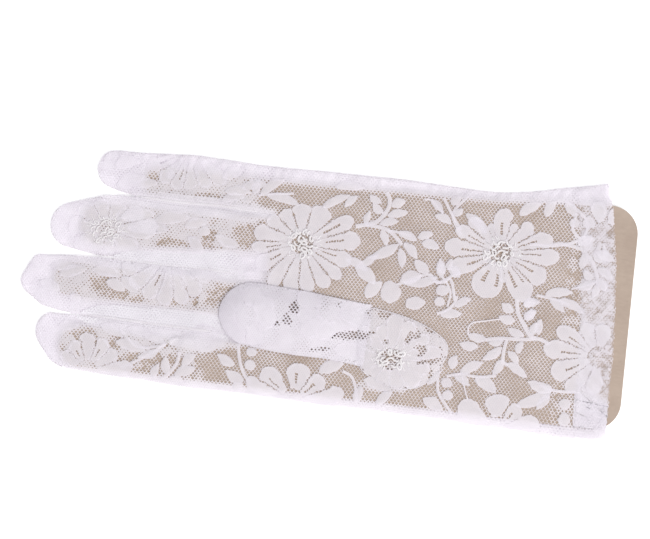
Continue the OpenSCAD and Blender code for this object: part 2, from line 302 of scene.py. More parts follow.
# A stem is the points that it bends through, and its width
PALM_STEMS = [
    ([(50, 38), (45, 30), (49, 22)], 1.15), ([(27, 0), (38, 6), (42, 3), (47, 5), (50, -3)], 1.15),
    ([(88, 40), (97, 34), (96, 27), (87, 23), (76, 22)], 1.15), ([(10, -36), (14, -38), (17, -46)], 1.15),
    ([(47, -34), (48, -40), (54, -46)], 1.15), ([(96, 26), (92, 30), (93, 36)], 1.15),
    ([(-78, -30), (-70, -36), (-60, -34)], 1.15), ([(-60, -33.5), (-68, -40), (-76, -45)], 1.15),
    ([(8, 20.7), (11.8, 21.8), (15.8, 23.5), (18.1, 26.4), (19.7, 29.8), (19.7, 32.9), (18.4, 35.4)], 1.6),
    ([(11.8, 21.7), (16, 21.8), (20.8, 21), (24.8, 18.3), (26.7, 16.2)], 1.5),
    ([(20.8, 21), (25.5, 20.9), (29.8, 20)], 1),
    ([(33.1, 34.3), (35.9, 34.6), (39.4, 31.6), (41.2, 30)], 0.8),
    ([(41, 36.1), (43.2, 32.1), (46.3, 27.4), (48.9, 24.2)], 1.2),
    ([(40.2, 3.7), (44.7, 3.6), (47.4, 6.2), (50.8, 7.3)], 1.2),
    ([(43.8, 5.5), (46.3, 2.8), (47.9, -0.6), (47.4, -5.7)], 0.9),
    ([(50.5, -1.3), (50, -4), (47.5, -6.9), (43.6, -9)], 1.2),
    ([(73.8, 0.5), (75, -4.6), (77.5, -8.4), (80.7, -12.8), (83, -13.6)], 1.6),
    ([(88.5, -15.6), (84, -13.8), (78.3, -14.8), (73.1, -15.3), (68, -16), (63.4, -17.1)], 1.5),
    ([(71.9, -15.9), (71.2, -20.7), (71.5, -24.9), (73.4, -25.7)], 1.4),
    ([(50.3, -32.8), (55.2, -31.2), (60.5, -31.6), (64.6, -31.3), (69.2, -30.4)], 1.1),
    ([(67.8, -8.2), (62, -9.8), (57.9, -10.8), (56.4, -12.9), (56.9, -15.4)], 0.6),
    ([(81.5, 2.9), (86.4, 2.3), (90.1, 1.7), (94, 0.6)], 1.1),
    ([(84.4, 22.4), (87.4, 23.8), (92.2, 23.4), (96.5, 22.3), (100.6, 18.8), (103.6, 13.9), (104.7, 9)], 1.4),
    ([(94.2, 6.8), (99.3, 8.6), (104.2, 11.1)], 0.8),
    ([(102.3, -32.8), (96.1, -33.5), (91.4, -33.3), (86.5, -32)], 1.2),
    ([(56.1, -32.1), (57.8, -37.1), (59.6, -40.8)], 0.6),
    ([(-31.2, 28.2), (-24.5, 29.6), (-17.3, 30.5)], 0.9),
    ([(-59.6, -47), (-56.8, -43.9), (-54.4, -39.4), (-54.1, -36)], 1.3),
    ([(-31.9, -30.1), (-30.5, -36.5), (-27.8, -41.9), (-25.1, -43.9)], 1.3),
]

GUSSET_FLOWERS = [
    ((28, -28.5), [
        (350, 16, 6.4), (14, 20, 6.4), (38, 17, 5.4), (66, 16, 7), (92, 17, 8), (116, 14, 6.5),
        (137, 13, 5), (176, 22, 7), (200, 15, 6), (225, 13, 6.5), (256, 12, 7), (290, 12, 7), (322, 15, 8),
    ]),
]
THUMB_FLOWERS = [
    ((2, -13), [
        (352, 15, 7), (24, 13, 7), (200, 13, 7), (226, 14, 8), (262, 12, 7), (300, 11, 7), (160, 14, 7),
        (326, 13, 7),
    ]),
    ((-30, -19), [
        (0, 12, 7.5), (40, 12, 7.5), (82, 12, 7.5), (124, 12, 7.5), (166, 12, 8), (208, 12, 8),
        (250, 12, 7.5), (300, 12, 7.5),
    ]),
] + GUSSET_FLOWERS

CENTRE_R = 4.2                # where the petals of a flower begin
KNOT_LONG, KNOT_WIDE = 6.6, 5.2   # half the length and width of the heap of cords in its middle
SLIT_LONG, SLIT_PITCH = 0.72, 1.0
TIP_FROM = 0.68               # the share of a petal's length where its round tip begins
SHORT_PETAL = 14.5            # a shorter petal lies a little lower
HOLE_GAPS = (0.42, 0.03)      # beside petals with a row of holes between them: at a hole and elsewhere
NO_GAPS = (-0.15, -0.15)      # beside petals that overlap

# The columns of points across a petal, and the gaps between them that hold slits
ONE_SLIT = ((-1, -0.92, -0.8, -0.42, -0.13, 0.13, 0.42, 0.8, 0.92, 1), (4,))
TWO_SLITS = ((-1, -0.92, -0.8, -0.55, -0.33, 0, 0.33, 0.55, 0.8, 0.92, 1), (3, 6))


def grid(points, columns, is_hole=lambda row, column: False):
    """A shape made of rows of points [x, y, relief]: its points, its faces and its rim in the plan."""
    rows = len(points) // columns
    faces = [(k, k + columns, k + columns + 1, k + 1)
             for i in range(rows - 1) for j, k in enumerate(range(i * columns, (i + 1) * columns - 1))
             if not is_hole(i, j)]
    rim = [i * columns for i in range(rows)] + [(i + 1) * columns - 1 for i in reversed(range(rows))]
    return points, np.array(faces), points[rim, :2]


def petal(centre, angle, length, width, slits, bend, room, gaps):
    """A petal. room is the angle in radians that it may fill on its right and on its left before it meets
    the petals beside it, and gaps are the distances that it keeps from there."""
    stations, hole_row = [0.0], []
    at, end = 0.0, TIP_FROM * (length - CENTRE_R)
    start = (0.3 + 0.14 * math.sin(3 * angle)) * end      # where the rows of holes begin
    while at + 1.1 < end:
        for step, is_hole in ((SLIT_LONG, True), (SLIT_PITCH - SLIT_LONG, False)):
            at += step
            stations.append(at)
            hole_row.append(is_hole and slits > 0 and at > start)
    flat = np.array(stations)
    reach = length - CENTRE_R - flat[-1]
    tip = np.radians([18, 34, 48, 61, 73, 82, 88])
    run = np.concatenate([flat, flat[-1] + reach * np.sin(tip)])[:, None]
    hole_row += [False] * len(tip)
    grow = 0.42 + 0.58 * smooth(flat / flat[-1] * 1.1)
    half = width / 2 * np.concatenate([grow, np.cos(tip)])[:, None]
    side, hole_columns = TWO_SLITS if slits == 2 else ONE_SLIT
    side = np.array(side)
    rim = np.exp(-((np.abs(side) - 0.92) / 0.08) ** 2)
    relief = 0.12 + 0.1 * (1 - side ** 2) + 0.1 * rim
    along = CENTRE_R + run
    across = half * side + bend * (run / run[-1]) ** 2
    across += 0.16 * half * np.sin(3 * run / run[-1]) * (1 - side ** 2)
    gap = np.full(run.shape, gaps[1])
    wide_rows = np.nonzero(flat[::2] > start)[0] * 2
    gap[wide_rows, 0] = gaps[0] * (0.6 + 0.8 * flat[wide_rows] / end)
    for sign, angle_free in zip((-1, 1), room):
        limit = np.maximum(along * math.tan(min(angle_free, 1.4)) - gap, 0.12)
        widest = np.maximum(sign * across[:, [-1 if sign > 0 else 0]], 1e-6)
        across = np.where(across * sign > 0, across * np.minimum(1, limit / widest), across)
    turn = math.radians(angle)
    x = centre[0] + along * math.cos(turn) - across * math.sin(turn)
    y = centre[1] + along * math.sin(turn) + across * math.cos(turn)
    z = np.tile(relief, (len(run), 1))
    z[-1] = relief[1]
    points = ragged(np.stack([x, y, z], axis=2).reshape(-1, 3))
    return grid(points, len(side), lambda row, column: hole_row[row] and column in hole_columns)


def ragged(points, amount=0.17):
    """The small unevenness that a knitted outline has."""
    points[:, 0] += amount * ripple(points, 51, 1.9)
    points[:, 1] += amount * ripple(points, 52, 1.9)
    return points


def leaf(x0, y0, x1, y1, width):
    """A pointed leaf with a raised middle vein."""
    t = np.array([0, 0.06, 0.16, 0.3, 0.45, 0.6, 0.75, 0.87, 0.95, 1])[:, None]
    half = 0.58 * width * np.maximum(np.sin(math.pi * t ** 0.9) ** 0.7, 0.05)
    side = np.array([-1, -0.84, -0.45, -0.1, 0.1, 0.45, 0.84, 1])
    relief = np.array([0.08, 0.2, 0.16, 0.24, 0.24, 0.16, 0.2, 0.08])
    dx, dy = x1 - x0, y1 - y0
    length = math.hypot(dx, dy)
    ux, uy = dx / length, dy / length
    across = half * side + 0.06 * length * np.sin(math.pi * t)
    x = x0 + t * dx - across * uy
    y = y0 + t * dy + across * ux
    z = np.tile(relief, (len(t), 1))
    points = ragged(np.stack([x, y, z], axis=2).reshape(-1, 3))
    return grid(points, len(side))


def bud(x, y, radius):
    """A round bud with a raised rim."""
    turns = 14
    rings = [(0.35, 0.28), (0.68, 0.2), (0.86, 0.26), (1.0, 0.08)]     # share of the radius, and relief
    angle = np.arange(turns) * 2 * math.pi / turns
    points = [[x, y, 0.3]]
    for r, z in rings:
        points += [[x + radius * r * math.cos(a), y + radius * r * math.sin(a) * 0.86, z] for a in angle]
    faces = [(0, 1 + j, 1 + (j + 1) % turns, 1 + (j + 1) % turns) for j in range(turns)]
    for i in range(len(rings) - 1):
        low = 1 + i * turns
        faces += [(low + j, low + turns + j, low + turns + (j + 1) % turns, low + (j + 1) % turns)
                  for j in range(turns)]
    points = ragged(np.array(points))
    return points, np.array(faces), points[-turns:, :2]


def curve_through(spots, spacing):
    """A smooth curve through the spots, sampled about every spacing."""
    p = np.array(spots, float)
    p = np.concatenate([[2 * p[0] - p[1]], p, [2 * p[-1] - p[-2]]])
    out = []
    for a, b, c, d in zip(p, p[1:], p[2:], p[3:]):
        n = max(2, int(np.linalg.norm(c - b) / spacing))
        t = (np.arange(n) / n)[:, None]
        out.append(0.5 * (2 * b + (c - a) * t + (2 * a - 5 * b + 4 * c - d) * t ** 2
                          + (3 * b - a - 3 * c + d) * t ** 3))
    return np.concatenate(out + [p[-2][None]])


def stem(spots, width):
    """A flat cord that rises along its middle."""
    path = curve_through(spots, 1.1)
    left = left_of(directions(path))
    rows = [np.concatenate([path + left * side * width, np.full((len(path), 1), relief)], axis=1)
            for side, relief in ((-0.5, 0.1), (-0.2, 0.2), (0.2, 0.2), (0.5, 0.1))]
    return grid(np.stack(rows, axis=1).reshape(-1, 3), len(rows))


def motifs(flowers, leaves=(), buds=(), stems=(), seed=1, gaps=HOLE_GAPS):
    """All the dense shapes of a pattern, later ones a hair above earlier ones."""
    dice = np.random.default_rng(seed)
    shapes = [stem(*s) for s in stems]
    shapes += [leaf(*l) for l in leaves]
    shapes += [bud(*b) for b in buds]
    for centre, petals in flowers:
        for angle, length, width, *slits in petals:
            room = []
            for sign in (-1, 1):
                beside = [((a - angle) * sign % 360, w) for a, l, w, *_ in petals
                          if l > 0.72 * length and a != angle]
                gap, other = min(beside)
                room.append(math.radians(gap) * width / (width + other))
            shift = dice.uniform(-0.5, 0.5)
            shapes.append(petal(centre, angle, length, width, sum(slits), shift, room, gaps))
            shapes[-1][0][:, 2] -= 0.08 * (length < SHORT_PETAL)
    for i, (points, _, _) in enumerate(shapes):
        points[:, 2] += 0.02 * (i % 7)
    return shapes


# ---- lace

NET_A, NET_B = 1.45, 0.9      # spacing along a row of the net, and between rows
NET_RELIEF = 0.12             # how far the middle of a thread stands above its edges
MASK_STEP = 0.25


class Mask:
    """A fine map of the plan that says where the dense shapes are."""

    def __init__(self, low, high):
        self.low = np.array(low) - 2
        self.size = np.ceil((np.array(high) + 2 - self.low) / MASK_STEP).astype(int)
        self.cells = np.zeros(self.size, bool)

    def fill(self, ring, value=True):
        lo = np.clip(((ring.min(0) - self.low) / MASK_STEP).astype(int), 0, self.size - 1)
        hi = np.clip(((ring.max(0) - self.low) / MASK_STEP).astype(int) + 1, 1, self.size)
        gx, gy = np.meshgrid(np.arange(lo[0], hi[0]), np.arange(lo[1], hi[1]), indexing="ij")
        spots = np.stack([gx.ravel(), gy.ravel()], axis=1) * MASK_STEP + self.low
        if len(spots):
            self.cells[lo[0]:hi[0], lo[1]:hi[1]][inside(spots, [ring]).reshape(gx.shape)] = value

    def at(self, points):
        k = np.round((points - self.low) / MASK_STEP).astype(int)
        ok = ((k >= 0) & (k < self.size)).all(1)
        out = np.zeros(len(points), bool)
        out[ok] = self.cells[k[ok, 0], k[ok, 1]]
        return out


def net(loops, mask, hole, shift=(0, 0), seed=3):
    """Hexagonal net inside the loops: plan points and faces, with the cells that lie wholly under the
    dense shapes left out. hole is the share of each cell's width that is open, or gives it for points."""
    low = np.min([l.min(0) for l in loops], axis=0) - 1
    high = np.max([l.max(0) for l in loops], axis=0) + 1
    rows = np.arange(int(low[1] / NET_B) - 1, int(high[1] / NET_B) + 2)
    across = np.arange(int(low[0] / NET_A) - 1, int(high[0] / NET_A) + 2)
    gx, gy = np.meshgrid(across, rows, indexing="ij")
    gx, gy = gx.ravel(), gy.ravel()
    centre = np.stack([(gx + 0.5 * (gy % 2)) * NET_A + shift[0], gy * NET_B + shift[1]], axis=1)
    keep = inside(centre, loops)
    centre, gx, gy = centre[keep], gx[keep], gy[keep]
    high_y = (0.25 * NET_A ** 2 + NET_B ** 2) / (2 * NET_B)
    low_y = high_y - 0.25 * NET_A ** 2 / NET_B
    corner = np.array([[NET_A / 2, -low_y], [NET_A / 2, low_y], [0, high_y],
                       [-NET_A / 2, low_y], [-NET_A / 2, -low_y], [0, -high_y]])
    covered = mask.at(centre)
    for c in corner * 0.8:
        covered &= mask.at(centre + c)
    centre = centre[~covered]
    dice = np.random.default_rng(seed)
    share = hole(centre) if callable(hole) else hole
    share = share * (1 + 0.06 * ripple(centre, seed, 18)) * dice.uniform(0.95, 1.05, len(centre))
    outer = (centre[:, None, :] + corner[None]).reshape(-1, 2)
    inner = (centre[:, None, :] + corner[None] * share[:, None, None]).reshape(-1, 2)
    keys, index = np.unique(np.round(outer * 50).astype(int), axis=0, return_inverse=True)
    index = index.ravel()
    merged = np.zeros((len(keys), 2))
    merged[index] = outer
    n = len(merged)
    ring = index.reshape(-1, 6)
    hole_ids = n + np.arange(len(centre) * 6).reshape(-1, 6)
    faces = np.concatenate([np.stack([ring[:, k], ring[:, (k + 1) % 6], hole_ids[:, (k + 1) % 6],
                                      hole_ids[:, k]], axis=1) for k in range(6)])
    plan = np.concatenate([merged, inner])
    relief = np.concatenate([np.full(n, NET_RELIEF), np.zeros(len(inner))])
    return np.concatenate([plan, relief[:, None]], axis=1), faces


def lace(name, loops, shapes, height, hole, shift=(0, 0), open_spots=(), seed=3, cuts=()):
    """A sheet of lace over the plan loops. height(points) gives its z in mm. open_spots are rings with
    neither net nor shapes of their own, and the dense shapes are left out in the rings of cuts."""
    mask = Mask(np.min([l.min(0) for l in loops], axis=0), np.max([l.max(0) for l in loops], axis=0))
    for _, _, rim in shapes:
        mask.fill(rim)
    for spot in open_spots:
        mask.fill(spot)
    for ring in cuts:
        mask.fill(ring, False)
    points, faces = net(loops, mask, hole, shift, seed)
    all_points, all_faces = [points], [faces]
    count = len(points)
    for shape_points, shape_faces, _ in shapes:
        for ring in cuts:
            shape_faces = shape_faces[~inside(shape_points[shape_faces, :2].mean(1), [ring])]
        all_points.append(shape_points)
        all_faces.append(shape_faces + count)
        count += len(shape_points)
    points, faces = np.concatenate(all_points), np.concatenate(all_faces)
    middle = points[faces, :2].mean(1)
    faces = faces[inside(middle, loops)]
    used, faces = np.unique(faces, return_inverse=True)
    faces = faces.reshape(-1, 4)
    points = points[used]
    plan = points[:, :2].copy()
    outside = ~inside(plan, loops)
    _, edge = nearest(plan[outside], segments(loops))
    plan[outside] = edge
    z = height(plan) + points[:, 2]
    return mesh_piece(name, np.concatenate([plan, z[:, None]], axis=1), faces)


def mesh_piece(name, points, faces):
    """An object from points in mm and faces of four corners, where a repeated corner means three."""
    mesh = bpy.data.meshes.new(name)
    points = settle(np.asarray(points, float)) * MM
    lists = [f if f[2] != f[3] else f[:3] for f in faces.tolist()]
    lists = [f for f in lists if len(set(f)) == len(f)]
    mesh.from_pydata(points.tolist(), [], lists)
    mesh.validate()
    mesh.polygons.foreach_set("use_smooth", [True] * len(mesh.polygons))
    return in_scene(name, mesh)


def in_scene(name, data):
    """A new object in the scene."""
    made = bpy.data.objects.new(name, data)
    bpy.context.scene.collection.objects.link(made)
    return made


def settle(points):
    """Small sideways wander of the cloth, the same for every layer, so that seams stay together. The long
    edges bulge a little where the real ones do."""
    out = points.copy()
    x, y = points[:, 0], points[:, 1]
    out[:, 0] += 0.25 * ripple(points[:, :2], 71, 26)
    out[:, 1] += 0.25 * ripple(points[:, :2], 72, 30)
    out[:, 1] += smooth((-38 - y) / 10) * np.interp(x, [-110, -96, -84, -70, -40, 0, 50, 66, 115],
                                                    [0.5, 1.1, 0.7, 0, -0.6, -0.8, -1, -1.6, -1.7])
    out[:, 1] += smooth((y - 32) / 8) * np.interp(x, [-95, -80, -64, -56, -40, -30, -20, 60, 96],
                                                  [0.3, -0.2, 0.4, 1.1, 1.2, 0.5, 0, 0, 0.9])
    out[:, 1] -= np.exp(-((x + 111) / 6) ** 2 - ((y + 3.5) / 3) ** 2)
    return out


# ---- heights of the layers

cut = top_loops("palm_panel")
glove_loops = [soften(cut[0], sharp_from=100)]
gusset_loop = soften(cut[1], 6)
card_loops = top_loops("hand_card")[:1]
side_nodes = ("fourchette_index_middle", "fourchette_middle_ring", "fourchette_ring_little")
side_loops = [top_loops(n)[0] for n in side_nodes]
thumb_loop = hull(top_loops("thumb_seam")[0])
root_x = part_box("thumb_seam")[1].x / MM

# The outline without the open end at the cuff
CUFF_CORNER_Y = 48.9
cuff_x = cut[0][cut[0][:, 1] > CUFF_CORNER_Y][:, 0].max() - 0.1
closed_edge = segments(glove_loops)
closed_edge = closed_edge[(closed_edge[:, [0, 2]] <= cuff_x).any(axis=1)]

# The y of each slit between two fingers, halfway between the two seams beside it
seam_rows = sorted(loop[:, 1].mean() for loop in top_loops("finger_seams_palm")[:6])
slit_rows = [(a + b) / 2 for a, b in zip(seam_rows[::2], seam_rows[1::2])]
card_low, card_top = (corner.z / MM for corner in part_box("hand_card"))
HEM_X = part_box("cuff_hem_palm")[0].x / MM
WIDE_OPEN, HEM_OPEN = 0.81, 0.79      # the open share of the net over the card, and at the hem
EDGE_ROUND = 2.4              # how far in from an edge the cloth has risen to its full height
MIDDLE_Z = 1.15               # where the palm and the back meet at a closed edge
PALM_LOFT = 1.9               # height of the palm where there is no card under it
ON_CARD = 0.38                # how far the palm is above the card
STRIP_THICK = 0.32            # how much a side strip lifts the palm


def rounded(t):
    """A quarter circle from 0 to 1."""
    return np.sqrt(np.clip(1 - (1 - np.clip(t, 0, 1)) ** 2, 0, 1))


def edge_rise(points):
    """How far the cloth has risen from a closed edge, the distance to it, and the nearest place on it."""
    far, place = nearest(points, closed_edge)
    return rounded(far / EDGE_ROUND), far, place


def at_slit(place):
    """1 where the nearest edge is a slit between two fingers, 0 at the outer edges."""
    near = np.min([np.abs(place[:, 1] - y) for y in slit_rows], axis=0)
    return smooth((3 - near) / 2) * smooth((place[:, 0] + 104) / 10)


def over_card(points):
    """1 over the card, 0 well away from it."""
    return smooth((depth(points, card_loops) + 2.6) / 3.6)


def over_strips(points):
    """1 over the side strips of the fingers."""
    return np.max([smooth((depth(points, [loop]) + 1.5) / 1.5) for loop in side_loops], axis=0)


# Places on the fingers where the net is open enough to show the card: x, y, half length, half width, and
# the turn in degrees, if any
FINGER_PATCHES = [
    (-84.4, -14.6, 8.5, 4.4, -12), (-73, -18, 3, 1.6, 10), (-58.5, -16.2, 3, 1.7, -10),
    (-49.7, -14.6, 1, 3.8), (-40.4, -12, 6.2, 4.2, 40), (-100, -21.6, 5.4, 1.4, -8), (-49, -22, 8, 1.1),
    (-53, -13, 1, 3, 20), (-63.2, 5.6, 5.4, 2.4, 8), (-50, 5.8, 7.5, 1.4, 3), (-48.2, 10.5, 3.4, 2.6),
    (-33.3, 12, 5.4, 4.8), (-76.5, 10.4, 4.6, 1), (-75.8, 13.8, 2.6, 0.8), (-96, 4, 1.4, 1),
    (-30, 3, 3, 2, 60), (-73.3, 29.6, 3.2, 3), (-64, 30, 1.8, 2.4), (-70.6, 22.8, 2.8, 1.5),
    (-66, 22.4, 3, 0.9), (-50, 25.4, 7, 0.9), (-50, 21.8, 7, 0.9), (-56, 23.6, 1.1, 2),
    (-43.5, 23.6, 1.1, 2), (-37.3, 23.7, 3.6, 1), (-34.5, 32.5, 2.6, 4, -30), (-28.4, 33.2, 4.6, 4),
    (-24, 25, 7, 5, -30), (-91, -36, 4.2, 6), (-79, -35, 2.6, 5), (-70.5, -40.4, 8.5, 2.8, 14),
    (-64.5, -31.8, 7.5, 1.9, -22), (-57, -44, 3, 3.4), (-42, -38, 8, 3.4), (-86, -46, 1.4, 3.4, -40),
    (-99, -41.5, 1, 3.6, 20), (-66, -46, 8, 2.6), (-63, -42, 6, 4.4, -7), (-53, -42, 8, 4.6, -7),
]

# Folded cloth that hides the card: the same numbers
CLOSED_PATCHES = [
    (-44, -27.6, 12, 4.2, -6), (-27, -3, 8, 2.4), (27, -39.4, 10, 2.2, 4), (45, -27, 2.4, 6, 20),
]


def patches(points, spots):
    """1 inside the patches, falling softly to 0 outside them."""
    patch = np.zeros(len(points))
    for x, y, long, wide, *turn in spots:
        a = math.radians(sum(turn))
        dx, dy = points[:, 0] - x, points[:, 1] - y
        along, across = dx * math.cos(a) + dy * math.sin(a), dy * math.cos(a) - dx * math.sin(a)
        far = np.sqrt((along / long) ** 2 + (across / wide) ** 2)
        patch = np.maximum(patch, smooth(2.2 - 1.7 * far + 0.3 * ripple(points, 19, 4.5)))
    return patch


# Rings of large holes beside the flower on the gusset, which run on into the thumb
THUMB_CUTS = [np.array(r, float) for r in (
    [(4, -22.8), (5.4, -21.2), (10, -19.6), (16.6, -18.6), (17.6, -20), (19.4, -22.6), (16.8, -22.4),
     (13, -21.8), (9, -23.2)],
    [(32.4, -22.4), (33, -19.4), (35, -17.4), (38.4, -17), (37.4, -19.4), (35, -20.4), (34.2, -22.6)],
    [(35.8, -23.6), (37.6, -22), (40.4, -22), (41.8, -23.8), (39.4, -26.6), (37.4, -26.6), (38.8, -24.6)],
    [(38, -29.8), (38.4, -28.4), (43.6, -26.2), (47.4, -25.4), (47.6, -26.8), (43.6, -28)],
    [(24, -23), (24.2, -21), (26, -21), (26, -23)])]

# Open places on the thumb and its gusset
THUMB_PATCHES = [
    (-12, -13.6, 2, 2.6), (-13.8, -18.4, 1.8, 2.2, 20), (-19.5, -20, 3.4, 0.9), (-5.3, -11.2, 1.3, 3, -15),
    (7, -10, 3, 1.4), (15.5, -13.5, 1.4, 3, -35), (11.5, -21, 8.6, 2, 10), (15, -30, 6, 0.8, 8),
    (0, -28.6, 4, 0.9, 10), (25, -22, 1.4, 1.6), (35.4, -19.6, 3.4, 3, 40), (39, -24.3, 3.6, 3, 35),
    (43, -27.6, 6, 1.6, 20), (28, -29.4, 9, 5.6, 5), (46.6, -24.5, 0.8, 4), (42, -13, 4, 3.4, -30),
    (24, -12, 4, 1.6, -10), (30, -37, 8, 1.2), (44, -34, 1, 4, 10),
]


def thumb_share(points):
    """How open the net of the thumb and the gusset is."""
    return 0.16 + 0.08 * ripple(points, 17, 8) + 0.52 * patches(points, THUMB_PATCHES)


def open_share(points):
    """How open the net is: wide over the card, and nearly closed where the real layers lie heaped."""
    heaped = 0.28 + 0.1 * ripple(points, 15, 9)
    patch = patches(points, FINGER_PATCHES)
    on_hand = smooth((points[:, 0] + 34 + 14 * smooth((-30 - points[:, 1]) / 6)) / 6)
    closed = 0.27 + 0.12 * ripple(points, 16, 6)
    wide = closed + (WIDE_OPEN - closed) * np.maximum(patch, on_hand)
    wide *= 1 + (1 - on_hand) * jitter(points, 22, -0.3, 0.14)
    wide += (0.2 - wide) * patches(points, CLOSED_PATCHES)
    hem = HEM_OPEN + 0.1 * ripple(points, 21, 6) + jitter(points, 23, -0.3, 0.12)
    wide += (hem - wide) * smooth((points[:, 0] - HEM_X) / 1.5)
    return heaped + (wide - heaped) * smooth((depth(points, card_loops) + 0.3) / 2.2)


def pucker(points, far):
    """Little gathers that the side seam draws into the cloth beside it."""
    near_side = smooth((points[:, 1] - 30) / 8) * smooth((6.5 - far) / 6.5)
    wave = np.sin(points[:, 0] * 1.15 + 2.2 * ripple(points, 8, 24))
    return 0.35 * near_side * wave


def palm_height(points):
    """Height of the palm side's lace."""
    rise, far, place = edge_rise(points)
    slit = at_slit(place)
    on_card = over_card(points)
    waves = 0.16 * ripple(points, 6, 9) + 0.1 * ripple(points, 7, 40)
    loft = PALM_LOFT + 0.25 * ripple(points, 5, 17) + waves + pucker(points, far)
    high = card_top + np.maximum(ON_CARD + 0.5 * waves, 0.2) + STRIP_THICK * over_strips(points)
    loft = loft + (high - loft) * on_card
    loft += folds(points)
    edge_z = MIDDLE_Z + (loft - 0.14 - MIDDLE_Z) * slit
    lace = edge_z + (np.maximum(loft, edge_z + 0.1) - edge_z) * rise
    return np.maximum(lace, card_top + 0.1 - 8 * np.maximum(0.78 - on_card, 0))


# Soft ridges of the folded side strips: x, y of both ends, half width, height
FOLDS = [
    (-96, 20.6, -34, 20.6, 2, 0.85), (-92, -27.9, -48, -27.9, 1.7, 0.75), (-100, -4.6, -44, -4.6, 1.9, 0.7),
    (-80, -23.5, -46, -23.5, 1.6, 0.3), (-80, 0.5, -40, 3.5, 2.2, 0.4), (-34, -1.5, -20, -3, 1.6, 0.8),
    (-65, -36.5, -54, -29.5, 0.9, 0.5), (-56, -31, -36, -27, 3, 0.7),
]


def folds(points):
    """Height of the ridges."""
    total = np.zeros(len(points))
    for x0, y0, x1, y1, wide, high in FOLDS:
        a, way = np.array([x0, y0]), np.array([x1 - x0, y1 - y0], float)
        t = ((points - a) @ way) / (way @ way)
        gap = np.linalg.norm(points - a - np.clip(t, 0, 1)[:, None] * way, axis=1)
        ends = smooth(t * 6) * smooth((1 - t) * 6)
        total = np.maximum(total, high * ends * np.exp(-(gap / wide) ** 2))
    return total


def back_height(points):
    """Height of the lace on the hand's back, which lies under the card."""
    rise, _, _ = edge_rise(points)
    low = 0.35 + 0.1 * ripple(points, 9, 21)
    return MIDDLE_Z - (MIDDLE_Z - np.clip(low, 0.15, 0.6)) * rise


def gusset_height(points):
    """Height of the gusset, which is crowned above the palm."""
    crown = 1.1 * rounded(depth(points, [gusset_loop]) / 7)
    return palm_height(points) + 0.1 + crown + 0.12 * ripple(points, 10, 8)


THUMB_GAP = 0.65              # how far the thumb's edge is above the palm
THUMB_PUFF = 4.7              # how far its middle is above its edge
THUMB_SHOULDER = 11.5         # how far in from its edge it has risen to that
thumb_edge = segments([thumb_loop])
thumb_edge = thumb_edge[(thumb_edge[:, [0, 2]] <= root_x - 0.3).any(axis=1)]


def thumb_rise(points, width):
    """0 at the thumb's edge, 1 from width mm inside it."""
    far, _ = nearest(points, thumb_edge)
    return 0.04 * rounded(far / width) + 0.96 * np.sin(0.5 * math.pi * np.clip(far / width, 0, 1))


def at_root(points):
    """0 on the thumb, rising to 1 where it joins the gusset."""
    return smooth((points[:, 0] - 5) / (root_x - 5))


def thumb_rim(points):
    """Height of the thumb's edge."""
    root = at_root(points)
    rim = (palm_height(points) + THUMB_GAP) * (1 - root) + (gusset_height(points) + 0.12) * root
    return np.maximum(rim, card_top + THUMB_GAP)


def thumb_height(points):
    """Height of the thumb's upper layer."""
    puff = THUMB_PUFF * smooth((root_x - points[:, 0]) / 22)
    puff *= 1 + 0.1 * smooth((-8 - points[:, 0]) / 14)
    puff += (0.2 * ripple(points, 11, 14) + 0.09 * ripple(points, 12, 7)) * (1 - at_root(points))
    return thumb_rim(points) + np.maximum(puff, 0.03) * thumb_rise(points, THUMB_SHOULDER)


def thumb_low_height(points):
    """Height of the thumb's lower layer."""
    return thumb_rim(points) - 0.1 - 0.08 * thumb_rise(points, 5) * (1 - at_root(points))


# ---- materials

KNIT_PITCH = 0.00078          # metres from row to row
KNIT_TURN = 0.56              # radians that the rows lean to each side


def new_material(name, roughness, sheen=0.0):
    """A material, its node tree, its shader, and the place on the object."""
    material = bpy.data.materials.new(name)
    material.use_nodes = True
    tree = material.node_tree
    shader = tree.nodes["Principled BSDF"]
    shader.inputs["Roughness"].default_value = roughness
    shader.inputs["Sheen Weight"].default_value = sheen
    shader.inputs["Sheen Roughness"].default_value = 0.5
    shader.inputs["Specular IOR Level"].default_value = 0.3
    return material, tree, shader, tree.nodes.new("ShaderNodeTexCoord").outputs["Object"]


def add_node(tree, kind, output, inputs, **settings):
    """Adds a node and returns one of its outputs. Each input is a value or the output that feeds it."""
    node = tree.nodes.new("ShaderNode" + kind)
    for name, value in settings.items():
        setattr(node, name, value)
    for name, value in inputs.items():
        if isinstance(value, bpy.types.NodeSocket):
            tree.links.new(value, node.inputs[name])
        else:
            node.inputs[name].default_value = value
    return node.outputs[output]


def noise(tree, place, scale, detail=2.0, rough=0.5):
    return add_node(tree, "TexNoise", "Fac",
                    {"Scale": scale, "Detail": detail, "Roughness": rough, "Vector": place})


def multiply(tree, factor, one, other):
    """Two colours multiplied."""
    return add_node(tree, "Mix", "Result", {"Factor": factor, "A": one, "B": other},
                    data_type="RGBA", blend_type="MULTIPLY")


def ramp(tree, value, stops):
    """Colours that follow a value."""
    node = tree.nodes.new("ShaderNodeValToRGB")
    band = node.color_ramp
    while len(band.elements) < len(stops):
        band.elements.new(0.5)
    for element, (at, colour) in zip(band.elements, stops):
        element.position = at
        element.color = (*colour, 1)
    tree.links.new(value, node.inputs["Fac"])
    return node.outputs["Color"]


def bump(tree, shader, value, distance, strength):
    normal = add_node(tree, "Bump", "Normal", {"Distance": distance, "Strength": strength, "Height": value})
    tree.links.new(normal, shader.inputs["Normal"])


def wave_rows(tree, place, turn):
    """Even rows of knitting across the plan, turned by an angle."""
    turned = add_node(tree, "Mapping", "Vector", {"Rotation": (0, 0, turn), "Vector": place})
    return add_node(tree, "TexWave", "Fac", {"Scale": 2 * math.pi / (20 * KNIT_PITCH), "Vector": turned},
                    bands_direction="X")


